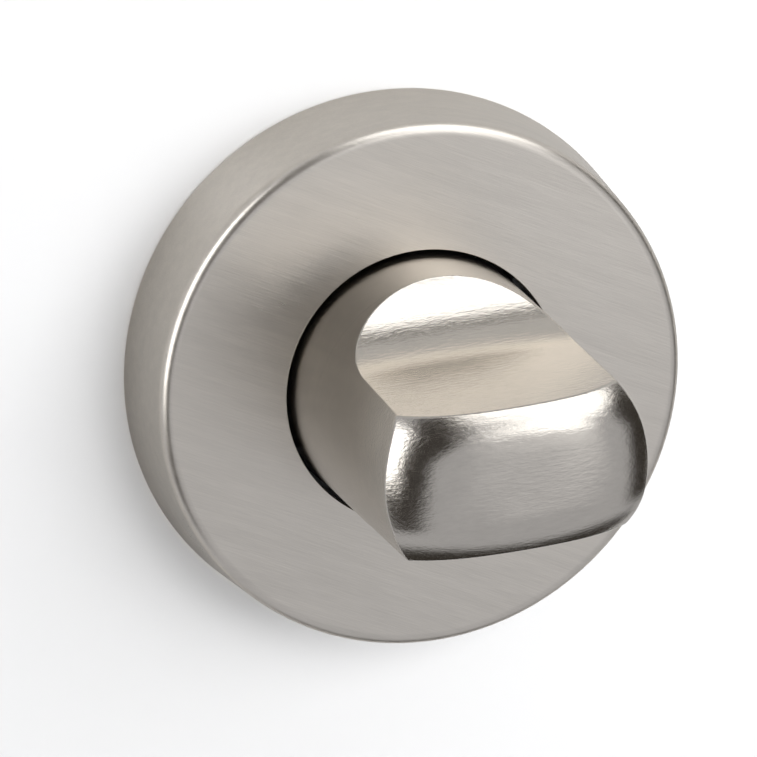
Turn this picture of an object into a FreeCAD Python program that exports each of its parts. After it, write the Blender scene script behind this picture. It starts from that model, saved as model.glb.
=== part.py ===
"""Bathroom thumb turn on a round rose, satin nickel, for the inside of a privacy lock.

Every piece is drawn about its own axis, with z running out of the door from the door's face,
x across and y up. At the end each piece is turned so that the row's +Z is up and -Y points
out of the door, at the person who turns it. Lengths are millimetres.
"""
import FreeCAD
import Part
import math
import os

V = FreeCAD.Vector
AXIS = V(0, 0, 1)

# Rose cover, a deep-drawn cup with a drafted side
ROSE_BACK_DIAMETER = 50.0
ROSE_DRAFT = 0.8
ROSE_HEIGHT = 10.0
ROSE_EDGE_RADIUS = 1.1
ROSE_FACE_THICKNESS = 1.6
ROSE_WALL = 1.0
ROSE_HOLE_EDGE_RADIUS = 0.15

# Thumb turn: a tapered round hub hollowed from both sides into a bar-shaped grip with a pillowed end
HUB_DIAMETER = 24.5
HUB_TAPER = 0.37
HUB_GAP = 0.47
TURN_REACH = 30.0
GRIP_THICKNESS = 13.9
GRIP_TAPER_DEG = 2.0
SCOOP_RADIUS = 10.65
SCOOP_START = 6.6
CROWN_DROP = 2.75
CROWN_POWER = 4
LONG_EDGE_ROUND_REACH = 3.6
LONG_EDGE_ROUND_DROP = 1.3
PILLOW_GRID = 25
BLANK_ALLOWANCE = 1.0
EDGE_BREAK = 0.1
HUB_BOTTOM_CHAMFER = 0.4

# Neck of the turn, its bearing bush and the seat for both in the base plate
NECK_DIAMETER = 13.0
NECK_CHAMFER = 0.4
BUSH_WALL = 1.5
BUSH_FLANGE_THICKNESS = 1.0
BUSH_FLANGE_OVERHANG = 0.2
RUNNING_CLEARANCE = 0.05
SEAT_CLEARANCE = 0.02
THRUST_CLEARANCE = 0.1

# Base plate, die-cast
BASE_HEIGHT = 4.6
BASE_FLOOR = 1.8
BASE_RIM_WALL = 1.6
BASE_CLEARANCE = 0.2
BOSS_WALL = 2.4
RECESS_DIAMETER = 20.0
RECESS_DEPTH = 2.4
RIB_THICKNESS = 1.4
RIB_COUNT = 6

# Fixing through the door
SCREW_EDGE_DISTANCE = 4.0
SCREW_DIAMETER = 4.0
SCREW_PLAIN_DIAMETER = 3.5
SCREW_RUNOUT = 0.5
SCREW_HEAD_DIAMETER = 7.2
SCREW_LENGTH = 40.0
SCREW_HOLE_CLEARANCE = 0.15
SCREW_HEAD_SINK = 0.3
SCREW_TIP_CHAMFER = 0.6
CROSS_SLOT_WIDTH = 1.0
CROSS_SLOT_LENGTH = 4.2
CROSS_SLOT_DEPTH = 1.5
LUG_DIAMETER = 7.5
LUG_LENGTH = 8.0
LUG_CHAMFER = 0.6
SCREW_BOSS_WALL = 1.3

# Square spindle and its set screw
SPINDLE_WIDTH = 6.0
SPINDLE_LENGTH = 73.0
SPINDLE_DEPTH_IN_TURN = 16.0
SPINDLE_CLEARANCE = 0.05
SPINDLE_CHAMFER = 0.8
SET_SCREW_DIAMETER = 3.0
SET_SCREW_SINK = 3.2
SET_SCREW_HEIGHT = 7.8
SET_SCREW_SOCKET = 1.5
SET_SCREW_SOCKET_DEPTH = 1.6

# Spring and ring parts behind the base plate
CLIP_GROOVE_DEPTH = 0.6
CLIP_THICKNESS = 0.9
CLIP_WIDTH = 1.6
CLIP_EAR_RADIUS = 1.4
CLIP_EAR_HOLE_DIAMETER = 1.1
CLIP_OPENING_DEG = 50.0
CLIP_FROM_BACK = 0.55
WASHER_THICKNESS = 0.45
WASHER_DIAMETER = 18.6
WAVE_SHEET = 0.18
WAVE_COUNT = 3
WAVE_WIDTH = 2.2
PLAY = 0.04
SNAP_WIRE_DIAMETER = 1.2
SNAP_WIRE_HEIGHT = 2.4
SNAP_OPENING_DEG = 24.0
SNAP_CLEARANCE = 0.05

# Sizes that follow from those above
ROSE_BACK_RADIUS = ROSE_BACK_DIAMETER / 2
ROSE_FRONT_RADIUS = ROSE_BACK_RADIUS - ROSE_DRAFT
ROSE_INSIDE_RADIUS = ROSE_FRONT_RADIUS - ROSE_WALL
HUB_RADIUS = HUB_DIAMETER / 2
HOLE_RADIUS = HUB_RADIUS + HUB_GAP
NECK_RADIUS = NECK_DIAMETER / 2
TURN_END = ROSE_HEIGHT + TURN_REACH
GRIP_HALF = GRIP_THICKNESS / 2
GRIP_TAPER = math.radians(GRIP_TAPER_DEG)
HUB_END_RADIUS = HUB_RADIUS - HUB_TAPER
BLANK_TOP = TURN_END + BLANK_ALLOWANCE
BUSH_BORE_RADIUS = NECK_RADIUS + RUNNING_CLEARANCE
BUSH_RADIUS = BUSH_BORE_RADIUS + BUSH_WALL
BUSH_TOP = BASE_HEIGHT + BUSH_FLANGE_THICKNESS
BUSH_FLANGE_RADIUS = HUB_RADIUS + BUSH_FLANGE_OVERHANG
HUB_BOTTOM = BUSH_TOP + THRUST_CLEARANCE
BASE_RADIUS = ROSE_INSIDE_RADIUS - BASE_CLEARANCE
SCREW_RADIUS = SCREW_DIAMETER / 2
SCREW_HOLE_RADIUS = SCREW_RADIUS + SCREW_HOLE_CLEARANCE
SCREW_PLAIN_RADIUS = SCREW_PLAIN_DIAMETER / 2
SCREW_HEAD_RADIUS = SCREW_HEAD_DIAMETER / 2
SCREW_HEAD_TOP = BASE_HEIGHT - SCREW_HEAD_SINK
SCREW_PLACES = [V(side * (BASE_RADIUS - SCREW_EDGE_DISTANCE), 0, 0) for side in (-1, 1)]
SPINDLE_TOP = SPINDLE_DEPTH_IN_TURN
CLIP_TOP = CLIP_FROM_BACK + CLIP_THICKNESS
CLIP_GROOVE_RADIUS = NECK_RADIUS - CLIP_GROOVE_DEPTH
WASHER_BOTTOM = CLIP_TOP + PLAY
WASHER_TOP = WASHER_BOTTOM + WASHER_THICKNESS
SNAP_RING_RADIUS = BASE_RADIUS + BASE_CLEARANCE / 2


def revolve(outline):
    """A solid of revolution about z from a closed outline of (radius, z) points and arc mid-points.

    An entry (radius, z) is a corner; an entry ((mid), (end)) is an arc through mid to end.
    """
    edges = []
    here = outline[0]
    for step in outline[1:] + [outline[0]]:
        if isinstance(step[0], tuple):
            mid, end = step
            bend = Part.Arc(V(here[0], 0, here[1]), V(mid[0], 0, mid[1]), V(end[0], 0, end[1]))
            edges.append(bend.toShape())
        else:
            end = step
            edges.append(Part.makeLine(V(here[0], 0, here[1]), V(end[0], 0, end[1])))
        here = end
    return Part.Face(Part.Wire(edges)).revolve(V(), AXIS, 360)


def cylinder(radius, bottom, top, place=V()):
    """A round bar along z."""
    return Part.makeCylinder(radius, top - bottom, place + V(0, 0, bottom), AXIS)


def ring(inner, outer, bottom, top):
    """A flat round ring along z."""
    return cylinder(outer, bottom, top).cut(cylinder(inner, bottom, top))


def square_bar(width, bottom, top):
    """A square bar along z, centred on the axis."""
    return Part.makeBox(width, width, top - bottom, V(-width / 2, -width / 2, bottom))


def wedge(opening_deg, reach, bottom, top):
    """A wedge centred on +y, used to open a ring."""
    half = math.radians(opening_deg / 2)
    left = V(-reach * math.sin(half), reach * math.cos(half), bottom)
    right = V(reach * math.sin(half), reach * math.cos(half), bottom)
    face = Part.Face(Part.makePolygon([V(0, 0, bottom), left, right, V(0, 0, bottom)]))
    return face.extrude(V(0, 0, top - bottom))


def rose_cover():
    """The visible rose: a cup open at the back, with a round hole that clears the turn's hub."""
    under_face = ROSE_HEIGHT - ROSE_FACE_THICKNESS
    cup = revolve([(ROSE_INSIDE_RADIUS, 0), (ROSE_BACK_RADIUS, 0), (ROSE_FRONT_RADIUS, ROSE_HEIGHT),
                   (HOLE_RADIUS, ROSE_HEIGHT), (HOLE_RADIUS, under_face), (ROSE_INSIDE_RADIUS, under_face)])
    rim = [e for e in cup.Edges if e.BoundBox.ZMin > ROSE_HEIGHT - 1e-6
           and e.BoundBox.XMax > ROSE_FRONT_RADIUS - 1e-3]
    cup = cup.makeFillet(ROSE_EDGE_RADIUS, rim)
    mouth = [e for e in cup.Edges if e.BoundBox.ZMin > ROSE_HEIGHT - 1e-6
             and abs(e.BoundBox.XMax - HOLE_RADIUS) < 1e-3]
    cup = cup.makeFillet(ROSE_HOLE_EDGE_RADIUS, mouth)
    return cup.cut(snap_groove())


def snap_groove():
    """The round groove shared by the cover and the base plate, for the snap wire."""
    section = SNAP_WIRE_DIAMETER / 2 + SNAP_CLEARANCE
    return Part.makeTorus(SNAP_RING_RADIUS, section, V(0, 0, SNAP_WIRE_HEIGHT))


def snap_ring():
    """An open spring-wire ring that holds the cover on the base plate."""
    wire = Part.makeTorus(SNAP_RING_RADIUS, SNAP_WIRE_DIAMETER / 2, V(0, 0, SNAP_WIRE_HEIGHT))
    reach = SNAP_RING_RADIUS * 2
    return wire.cut(wedge(SNAP_OPENING_DEG, reach, SNAP_WIRE_HEIGHT - SNAP_WIRE_DIAMETER,
                          SNAP_WIRE_HEIGHT + SNAP_WIRE_DIAMETER))


def hub_radius_at(height):
    """Radius of the tapered hub: HUB_RADIUS at the rose's face, less by the taper at the end."""
    return HUB_RADIUS - HUB_TAPER * (height - ROSE_HEIGHT) / TURN_REACH


def scoop_arc():
    """Height of the scoop's centre, and its distance from the axis."""
    start = ROSE_HEIGHT + SCOOP_START
    level = GRIP_HALF + SCOOP_RADIUS
    return start + math.sqrt(SCOOP_RADIUS ** 2 - (level - hub_radius_at(start)) ** 2), level


def on_scoop(angle):
    """Point of the scoop as (half thickness, height), by its angle from the way down to the door."""
    centre, level = scoop_arc()
    return level - SCOOP_RADIUS * math.sin(angle), centre - SCOOP_RADIUS * math.cos(angle)


def grip_half_at(height):
    """Half the grip's thickness at a height past the scoop, where its faces run on straight."""
    half, leaves = on_scoop(math.pi / 2 - GRIP_TAPER)
    return half - math.tan(GRIP_TAPER) * (height - leaves)


def scoop_outline():
    """Side view of the turn in the y-z plane: full width at the hub, hollowed into a tapering grip."""
    wide = HUB_RADIUS * 1.1
    low = -RECESS_DEPTH
    centre, level = scoop_arc()
    first = math.asin((level - wide) / SCOOP_RADIUS)
    last = math.pi / 2 - GRIP_TAPER
    tip = (grip_half_at(BLANK_TOP), BLANK_TOP)

    def at(side, point):
        return V(0, side * point[0], point[1])

    edges = []
    for side in (-1, 1):
        begin, middle, leave = (at(side, on_scoop(angle)) for angle in (first, (first + last) / 2, last))
        edges.append(Part.makeLine(at(side, (wide, low)), begin))
        edges.append(Part.Arc(begin, middle, leave).toShape())
        edges.append(Part.makeLine(leave, at(side, tip)))
    edges.append(Part.makeLine(at(-1, tip), at(1, tip)))
    edges.append(Part.makeLine(V(0, -wide, low), V(0, wide, low)))
    return Part.Face(Part.Wire(Part.__sortEdges__(edges)))


def pillow_height(x, y):
    """Height of the turn's end over a point: a crown all round and a fall along both long edges."""
    crown = CROWN_DROP * (math.hypot(x, y) / HUB_END_RADIUS) ** CROWN_POWER
    run = max(0, abs(y) - (grip_half_at(TURN_END) - LONG_EDGE_ROUND_REACH))
    return TURN_END - crown - LONG_EDGE_ROUND_DROP * (run / LONG_EDGE_ROUND_REACH) ** 2


def above_pillow():
    """All that lies above the pillowed end, to be cut from the blank."""
    reach, half = HUB_RADIUS * 1.05, GRIP_HALF * 1.1
    steps = [2 * i / (PILLOW_GRID - 1) - 1 for i in range(PILLOW_GRID)]
    grid = [[V(reach * a, half * b, pillow_height(reach * a, half * b)) for b in steps] for a in steps]
    skin = Part.BSplineSurface()
    skin.interpolate(grid)
    return Part.Face(skin).extrude(V(0, 0, TURN_REACH))


def turned_blank():
    """The turn before it is hollowed: neck and tapered hub, all round."""
    low = HUB_BOTTOM + HUB_BOTTOM_CHAMFER
    return revolve([(0, 0), (NECK_RADIUS - NECK_CHAMFER, 0), (NECK_RADIUS, NECK_CHAMFER),
                    (NECK_RADIUS, HUB_BOTTOM), (hub_radius_at(low) - HUB_BOTTOM_CHAMFER, HUB_BOTTOM),
                    (hub_radius_at(low), low), (hub_radius_at(BLANK_TOP), BLANK_TOP), (0, BLANK_TOP)])


def is_grip_edge(edge):
    """True for the crisp edges of the grip: where scoops and end meet the flanks and each other."""
    box = edge.BoundBox
    on_flank = all(abs(math.hypot(v.X, v.Y) - hub_radius_at(v.Z)) < 1e-3 for v in edge.Vertexes)
    return on_flank and box.ZMin > ROSE_HEIGHT and box.XLength + box.YLength > 1e-3


def thumb_turn():
    """The knob: turned blank, two scoops, square socket for the spindle, set screw hole and clip groove."""
    grip = scoop_outline().extrude(V(HUB_DIAMETER * 1.2, 0, 0))
    grip.translate(V(-HUB_DIAMETER * 0.6, 0, 0))
    knob = turned_blank().common(grip).cut(above_pillow())
    knob = knob.makeFillet(EDGE_BREAK, [e for e in knob.Edges if is_grip_edge(e)])
    knob = knob.cut(square_bar(SPINDLE_WIDTH + 2 * SPINDLE_CLEARANCE, 0, SPINDLE_TOP + SPINDLE_CLEARANCE))
    knob = knob.cut(Part.makeCylinder(SET_SCREW_DIAMETER / 2 + SEAT_CLEARANCE, HUB_RADIUS * 1.1,
                                      V(0, 0, SET_SCREW_HEIGHT), V(0, -1, 0)))
    return knob.cut(ring(CLIP_GROOVE_RADIUS, HUB_RADIUS, CLIP_FROM_BACK - PLAY, CLIP_TOP + PLAY))


def spindle():
    """The square bar that turns the lock's follower, with a pointed tip."""
    tip = SPINDLE_TOP - SPINDLE_LENGTH
    bar = square_bar(SPINDLE_WIDTH, tip, SPINDLE_TOP)
    end = [e for e in bar.Edges if e.BoundBox.ZMax < tip + 1e-6]
    return bar.makeChamfer(SPINDLE_CHAMFER, end)


def set_screw():
    """A headless socket screw that bears on the spindle, hidden below the rose's face."""
    inner = SPINDLE_WIDTH / 2 + SEAT_CLEARANCE
    outer = HUB_RADIUS - SET_SCREW_SINK
    along = V(0, -1, 0)
    body = Part.makeCylinder(SET_SCREW_DIAMETER / 2, outer - inner, V(0, -inner, SET_SCREW_HEIGHT), along)
    corner_radius = SET_SCREW_SOCKET / math.sqrt(3)
    corners = [V(corner_radius * math.cos(math.radians(60 * i)), -outer,
                 SET_SCREW_HEIGHT + corner_radius * math.sin(math.radians(60 * i))) for i in range(7)]
    socket = Part.Face(Part.makePolygon(corners)).extrude(V(0, SET_SCREW_SOCKET_DEPTH, 0))
    return body.cut(socket)


def bearing_bush():
    """The dark flanged sleeve that the neck turns in; its flange shows in the gap round the hub."""
    sleeve = ring(BUSH_BORE_RADIUS, BUSH_RADIUS, RECESS_DEPTH, BASE_HEIGHT)
    return sleeve.fuse(ring(BUSH_BORE_RADIUS, BUSH_FLANGE_RADIUS, BASE_HEIGHT, BUSH_TOP)).removeSplitter()


def base_plate():
    """The cast inner rose: floor, rim, bush boss, screw bosses, ribs, and lugs that go into the door."""
    boss = BUSH_RADIUS + BOSS_WALL
    rim_inside = BASE_RADIUS - BASE_RIM_WALL
    plate = cylinder(BASE_RADIUS, 0, BASE_HEIGHT)
    plate = plate.cut(ring(boss, rim_inside, BASE_FLOOR, BASE_HEIGHT))
    seat = BUSH_FLANGE_RADIUS
    plate = plate.fuse(cylinder(seat, 0, BASE_HEIGHT))
    for number in range(RIB_COUNT):
        rib_reach = BASE_RADIUS - BASE_RIM_WALL / 2
        rib = Part.makeBox(rib_reach, RIB_THICKNESS, BASE_HEIGHT, V(0, -RIB_THICKNESS / 2, 0))
        rib.rotate(V(), AXIS, 360 / RIB_COUNT * (number + 0.5))
        plate = plate.fuse(rib)
    for place in SCREW_PLACES:
        plate = plate.fuse(cylinder(SCREW_HEAD_RADIUS + SCREW_BOSS_WALL, 0, BASE_HEIGHT, place)
                           .common(cylinder(BASE_RADIUS, 0, BASE_HEIGHT)))
        lug = cylinder(LUG_DIAMETER / 2, -LUG_LENGTH, 0, place)
        lug = lug.makeChamfer(LUG_CHAMFER, [e for e in lug.Edges if e.BoundBox.ZMax < -LUG_LENGTH + 1e-6])
        plate = plate.fuse(lug)
    plate = plate.removeSplitter()
    for place in SCREW_PLACES:
        plate = plate.cut(cylinder(SCREW_HOLE_RADIUS, -LUG_LENGTH, BASE_HEIGHT, place))
        plate = plate.cut(screw_head(SCREW_HOLE_CLEARANCE, BASE_HEIGHT, place))
    plate = plate.cut(cylinder(RECESS_DIAMETER / 2, 0, RECESS_DEPTH))
    plate = plate.cut(cylinder(BUSH_RADIUS + SEAT_CLEARANCE, 0, BASE_HEIGHT))
    return plate.cut(snap_groove())


def screw_head(extra, top, place):
    """A countersunk head, grown sideways by extra, with a straight part above it up to top."""
    wide = SCREW_HEAD_RADIUS + extra
    narrow = SCREW_RADIUS + extra
    depth = wide - narrow
    cone = Part.makeCone(narrow, wide, depth, place + V(0, 0, SCREW_HEAD_TOP - depth), AXIS)
    if top <= SCREW_HEAD_TOP:
        return cone
    return cone.fuse(cylinder(wide, SCREW_HEAD_TOP, top, place))


def fixing_screw(place):
    """One countersunk machine screw with a cross slot: plain in its lug, full thread size past the lug."""
    tip = SCREW_HEAD_TOP - SCREW_LENGTH
    thread = cylinder(SCREW_RADIUS, tip, -LUG_LENGTH - SCREW_RUNOUT, place)
    thread = thread.makeChamfer(SCREW_TIP_CHAMFER, [e for e in thread.Edges if e.BoundBox.ZMax < tip + 1e-6])
    shank = thread.fuse(cylinder(SCREW_PLAIN_RADIUS, tip, SCREW_HEAD_TOP, place))
    screw = shank.fuse(screw_head(0, SCREW_HEAD_TOP, place)).removeSplitter()
    for length, width in ((CROSS_SLOT_LENGTH, CROSS_SLOT_WIDTH), (CROSS_SLOT_WIDTH, CROSS_SLOT_LENGTH)):
        corner = place + V(-length / 2, -width / 2, SCREW_HEAD_TOP - CROSS_SLOT_DEPTH)
        screw = screw.cut(Part.makeBox(length, width, CROSS_SLOT_DEPTH, corner))
    return screw


def fixing_screws():
    """Both fixing screws."""
    return Part.makeCompound([fixing_screw(place) for place in SCREW_PLACES])


def retaining_ring():
    """An open ring with two eyed ears, in the groove of the neck, that keeps the turn in its bush."""
    inner = CLIP_GROOVE_RADIUS + SEAT_CLEARANCE
    outer = NECK_RADIUS + CLIP_WIDTH
    clip = ring(inner, outer, CLIP_FROM_BACK, CLIP_TOP)
    clip = clip.cut(wedge(CLIP_OPENING_DEG, outer * 2, CLIP_FROM_BACK, CLIP_TOP))
    for side in (-1, 1):
        angle = math.radians(90 + side * (CLIP_OPENING_DEG / 2 + math.degrees(CLIP_EAR_RADIUS / outer)))
        middle = outer - CLIP_EAR_RADIUS / 2
        ear = V(middle * math.cos(angle), middle * math.sin(angle), 0)
        clip = clip.fuse(cylinder(CLIP_EAR_RADIUS, CLIP_FROM_BACK, CLIP_TOP, ear))
        clip = clip.cut(cylinder(CLIP_EAR_HOLE_DIAMETER / 2, CLIP_FROM_BACK, CLIP_TOP, ear))
    return clip.cut(cylinder(inner, CLIP_FROM_BACK, CLIP_TOP)).removeSplitter()


def thrust_washer():
    """A flat washer between the retaining ring and the wave spring."""
    return ring(NECK_RADIUS + RUNNING_CLEARANCE, WASHER_DIAMETER / 2, WASHER_BOTTOM, WASHER_TOP)


def wave_washer():
    """A waved spring ring that takes up play and gives the turn its drag."""
    inner = NECK_RADIUS + 2 * RUNNING_CLEARANCE
    outer = inner + WAVE_WIDTH
    lowest = WASHER_TOP + PLAY
    swing = (RECESS_DEPTH - lowest - WAVE_SHEET) / 2
    points_per_wave = 8

    def wavy_edge(radius, lift):
        count = WAVE_COUNT * points_per_wave
        points = []
        for i in range(count):
            turn = 2 * math.pi * i / count
            height = lowest + lift + swing * (1 + math.cos(WAVE_COUNT * turn))
            points.append(V(radius * math.cos(turn), radius * math.sin(turn), height))
        curve = Part.BSplineCurve()
        curve.interpolate(points, PeriodicFlag=True)
        return curve.toShape()

    low_in, low_out = wavy_edge(inner, 0), wavy_edge(outer, 0)
    top_in, top_out = wavy_edge(inner, WAVE_SHEET), wavy_edge(outer, WAVE_SHEET)
    skins = [Part.makeRuledSurface(a, b) for a, b in
             ((low_in, low_out), (low_out, top_out), (top_out, top_in), (top_in, low_in))]
    shell = Part.makeShell(skins)
    shell.sewShape()
    solid = Part.makeSolid(shell)
    if solid.Volume < 0:
        solid.reverse()
    return solid


PIECES = {
    "rose_cover": rose_cover,
    "base_plate": base_plate,
    "bearing_bush": bearing_bush,
    "snap_ring": snap_ring,
    "fixing_screws": fixing_screws,
    "wave_washer": wave_washer,
    "thumb_turn": thumb_turn,
    "spindle": spindle,
    "set_screw": set_screw,
    "thrust_washer": thrust_washer,
    "retaining_ring": retaining_ring,
}


def main():
    """Builds each piece, stands it up in the row's frame and writes it out."""
    os.makedirs("parts", exist_ok=True)
    for name, build in PIECES.items():
        shape = build()
        shape.rotate(V(), V(1, 0, 0), 90)
        shape.exportStep(f"parts/{name}.step")
        print(f"{name}: {len(shape.Solids)} solids, {shape.Volume:.1f} mm3, valid {shape.isValid()}")


main()
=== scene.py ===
"""Looks for a bathroom thumb turn on a round rose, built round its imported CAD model.

The rose cover, the turn and the two fixing screws are remade with fine meshes that keep the CAD
sizes, with threads on the screws and a crisper edge round the rose's hole. The other pieces keep
their CAD meshes and get their own finishes. Lengths are metres, in the CAD model's frame: +Z up,
-Y out of the door, the door's face at y = 0.
"""
import math

import bmesh
import bpy
import numpy as np
from mathutils import Matrix, Vector


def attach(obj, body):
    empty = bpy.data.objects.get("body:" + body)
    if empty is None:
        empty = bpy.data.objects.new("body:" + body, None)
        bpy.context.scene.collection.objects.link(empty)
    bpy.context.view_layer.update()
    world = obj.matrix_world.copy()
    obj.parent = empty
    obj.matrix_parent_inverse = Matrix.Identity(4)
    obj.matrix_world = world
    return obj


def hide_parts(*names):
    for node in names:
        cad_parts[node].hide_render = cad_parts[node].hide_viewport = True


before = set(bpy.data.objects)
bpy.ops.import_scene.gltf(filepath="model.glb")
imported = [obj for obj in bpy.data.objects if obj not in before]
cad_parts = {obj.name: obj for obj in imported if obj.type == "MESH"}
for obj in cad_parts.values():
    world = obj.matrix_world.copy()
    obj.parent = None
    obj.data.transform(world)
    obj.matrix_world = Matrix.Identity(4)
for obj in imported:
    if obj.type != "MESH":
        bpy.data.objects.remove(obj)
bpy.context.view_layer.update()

bl_info = {
    "name": "Thumb turn dresser",
    "version": (1, 0, 0),
    "blender": (4, 5, 0),
    "location": "3D View > Sidebar > Thumb turn",
    "description": "Dresses the CAD model of a bathroom thumb turn and lights it",
    "category": "Object",
}

MM = 0.001
IMAGE_PIXELS = 757
SENSOR_MM = 36.0
CLIP_NEAR = 0.01
CLIP_FAR = 20.0

# Angle between faces from which an edge is shown crisp.
CRISP_EDGE_DEG = 32.0
THREAD_EDGE_DEG = 40.0

# Noise scale of the wide brush streaks, as a share of the fine lines' scale.
STREAK_ALONG = 0.35
STREAK_ACROSS = 0.16

# The middle of a noise's values, which is stretched over a finish's whole range.
NOISE_LOW = 0.3
NOISE_HIGH = 0.7

# Shares of streaks, lines and blotches in a brushed metal's tone, roughness and relief.
STREAK_TONE = 0.45
LINE_TONE = 0.55
BLOTCH_ROUGH = 0.4
LINE_ROUGH = 0.6
STREAK_HEIGHT = 0.3

# How far the rose's brush lines are turned from level.
ROSE_BRUSH_DEG = 27.0

# Profile of the rose cover: its foot, the rings on its side and face, and the points on its edges.
ROSE_SEGMENTS = 288
CREASE_GAP = 0.03 * MM
FOOT_WIDTH = 0.12 * MM
FOOT_HEIGHT = 0.08 * MM
FOOT_LEAN = 0.01 * MM
SIDE_SHARES = (0.03, 0.25, 0.5, 0.75, 0.86)
FACE_RINGS = 9
FRONT_EDGE_POINTS = 14
HOLE_EDGE_POINTS = 6

# Rings of the turn, from the hub's foot to the middle of its end; they lie close where edges run.
SECTION_STEPS = 72
HUB_FOOT_GAP = 1.2 * MM
SCOOP_GAP = 0.6 * MM
HUB_RINGS = 9
SCOOP_RINGS = 44
BELOW_SCOOP_MM = (0.45, 0.3, 0.18, 0.09, 0.03)
NEAR_SCOOP = 1.0 * MM
NEXT_RING = 0.1 * MM
GRIP_SHARES = (*np.linspace(1, 0.08, 8)[1:], 0.06, 0.048, 0.037, 0.028, 0.02, 0.012, 0.005, 0)
END_SHARES = (*np.arange(0.006, 0.05, 0.006), *np.linspace(0.06, 0.5, 30), 0.6, 0.75, 0.9, 0.97)
TURN_WELD = 1e-7
OWN_NORMALS = 1.0 * MM

# Screws: the ridge's radius for a pitch, the thread's depth for that radius, the tip's length in
# pitches and its width for the core's, then how finely they are made.
RIDGE_SHARE = 0.36
CORE_DEPTH = 1.5
TIP_PITCHES = 1.2
TIP_SHARE = 0.7
RIDGE_STEPS = 20
RIDGE_SIDES = 6
SHANK_SIDES = 40
HEAD_SIDES = 56
SCREW_COUNT = 2

# Modifiers on the CAD meshes.
CAD_WELD = 1e-6
BEVEL_WIDTH = 0.08 * MM
BEVEL_SEGMENTS = 2
BEVEL_FROM_DEG = 40.0

# Stage: directions in which the cards fade, the reach of the floor, the places of the cards and the
# colours of the studio.
ACROSS = (1.0, 0.0, 0.0)
INWARDS = (0.0, 1.0, 0.0)
UPWARDS = (0.0, 0.0, 1.0)
SLANTED = (0.792, 0.61, 0.0)
FLOOR_REACH = 0.45
FRONT_CARD_Y = -0.26
UPPER_CARD_Y = -0.27
TOP_CARD_Z = 0.33
CARD_WHITE = (0.97, 0.98, 1.0, 1.0)
STUDIO_GREY = (0.50, 0.51, 0.54)
OVERHEAD_TONE = (0.07, 0.065, 0.06)
DARK_TONE = (0.04, 0.035, 0.03)

# Dark places of the studio in degrees: left of the front, up, full within and gone beyond.
OVERHEAD_LOBE = (-120, 72, 9, 22)
DARK_LOBES = ((22, 62, 11, 22), (24, 36, 14, 28), (34, 14, 12, 26), (42, -8, 12, 26), (56, -24, 10, 26),
              (-99, -14, 14, 34), (-92, 16, 12, 32), (-169, -60, 24, 40))


def length(name, default_mm, description):
    """A length property, given in millimetres and kept in metres."""
    return bpy.props.FloatProperty(name=name, description=description, default=default_mm * MM,
                                   min=0.0, precision=5, unit="LENGTH")


def angle(name, default_deg, description):
    """An angle property, given in degrees."""
    return bpy.props.FloatProperty(name=name, description=description, unit="ROTATION", subtype="ANGLE",
                                   default=math.radians(default_deg))


def colour(name, default, description):
    """A colour property."""
    return bpy.props.FloatVectorProperty(name=name, description=description, default=default, size=3,
                                         min=0.0, max=1.0, subtype="COLOR")


class RoseSizes(bpy.types.PropertyGroup):
    """Sizes of the rose cover."""

    back_radius: length("Back radius", 25.0, "Radius where the cover meets the door")
    draft: length("Draft", 0.8, "How far the side leans in from back to front")
    height: length("Height", 10.0, "Depth of the cover from the door to its face")
    edge_radius: length("Edge radius", 1.1, "Rounding of the front edge")
    wall: length("Side wall", 1.0, "Thickness of the side at the front")
    face_thickness: length("Face thickness", 1.6, "Thickness of the face")
    hole_radius: length("Hole radius", 12.72, "Radius of the hole that clears the hub")
    hole_edge: length("Hole edge", 0.05, "Rounding of the hole's edge")


class TurnSizes(bpy.types.PropertyGroup):
    """Sizes of the thumb turn."""

    hub_radius: length("Hub radius", 12.25, "Radius of the round hub at the rose's face")
    hub_taper: length("Hub taper", 0.37, "Radius the hub loses from the rose's face to the end")
    hub_bottom: length("Hub bottom", 5.7, "Where the hub starts, from the door's face")
    face: length("Rose face", 10.0, "Depth of the rose's face, from the door's face")
    end: length("End", 40.0, "How far the turn stands from the door's face")
    grip_half: length("Half grip", 6.95, "Half the thickness of the grip at the scoop's deepest place")
    grip_taper: angle("Grip taper", 2.0, "Slope of the grip's faces towards the end")
    scoop_radius: length("Scoop radius", 10.65, "Radius of the hollow between hub and grip")
    scoop_start: length("Scoop start", 16.6, "Where the hollow starts on the hub, from the door's face")
    crown_drop: length("Crown drop", 2.75, "Fall of the end from its middle to the flanks")
    long_reach: length("Long reach", 3.6, "Width of the rounding along the grip's faces")
    long_drop: length("Long drop", 1.3, "Fall of the rounding along the grip's faces")
    edge_break: length("Edge break", 0.1, "Rounding of the crisp edges")
    neck_radius: length("Neck radius", 6.5, "Radius of the neck in its bush")
    groove_radius: length("Groove radius", 5.9, "Radius at the bottom of the clip groove")
    groove_low: length("Groove low", 0.51, "Back of the clip groove")
    groove_high: length("Groove high", 1.49, "Front of the clip groove")
    chamfer: length("Chamfer", 0.4, "Chamfer of the hub's and the neck's ends")


class ScrewSizes(bpy.types.PropertyGroup):
    """Sizes of the fixing screws."""

    spacing: length("Spacing", 38.0, "Distance between the two screws")
    radius: length("Thread radius", 2.0, "Outside radius of the thread")
    pitch: length("Pitch", 0.7, "Distance between turns of the thread")
    head_radius: length("Head radius", 3.6, "Radius of the countersunk head")
    head_top: length("Head top", 4.3, "Height of the head's flat from the door's face")
    long: length("Length", 40.0, "Length over all")
    plain_radius: length("Plain radius", 1.75, "Radius of the plain part in the lug")
    plain_long: length("Plain length", 12.8, "Where the thread starts, from the head's flat")


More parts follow.
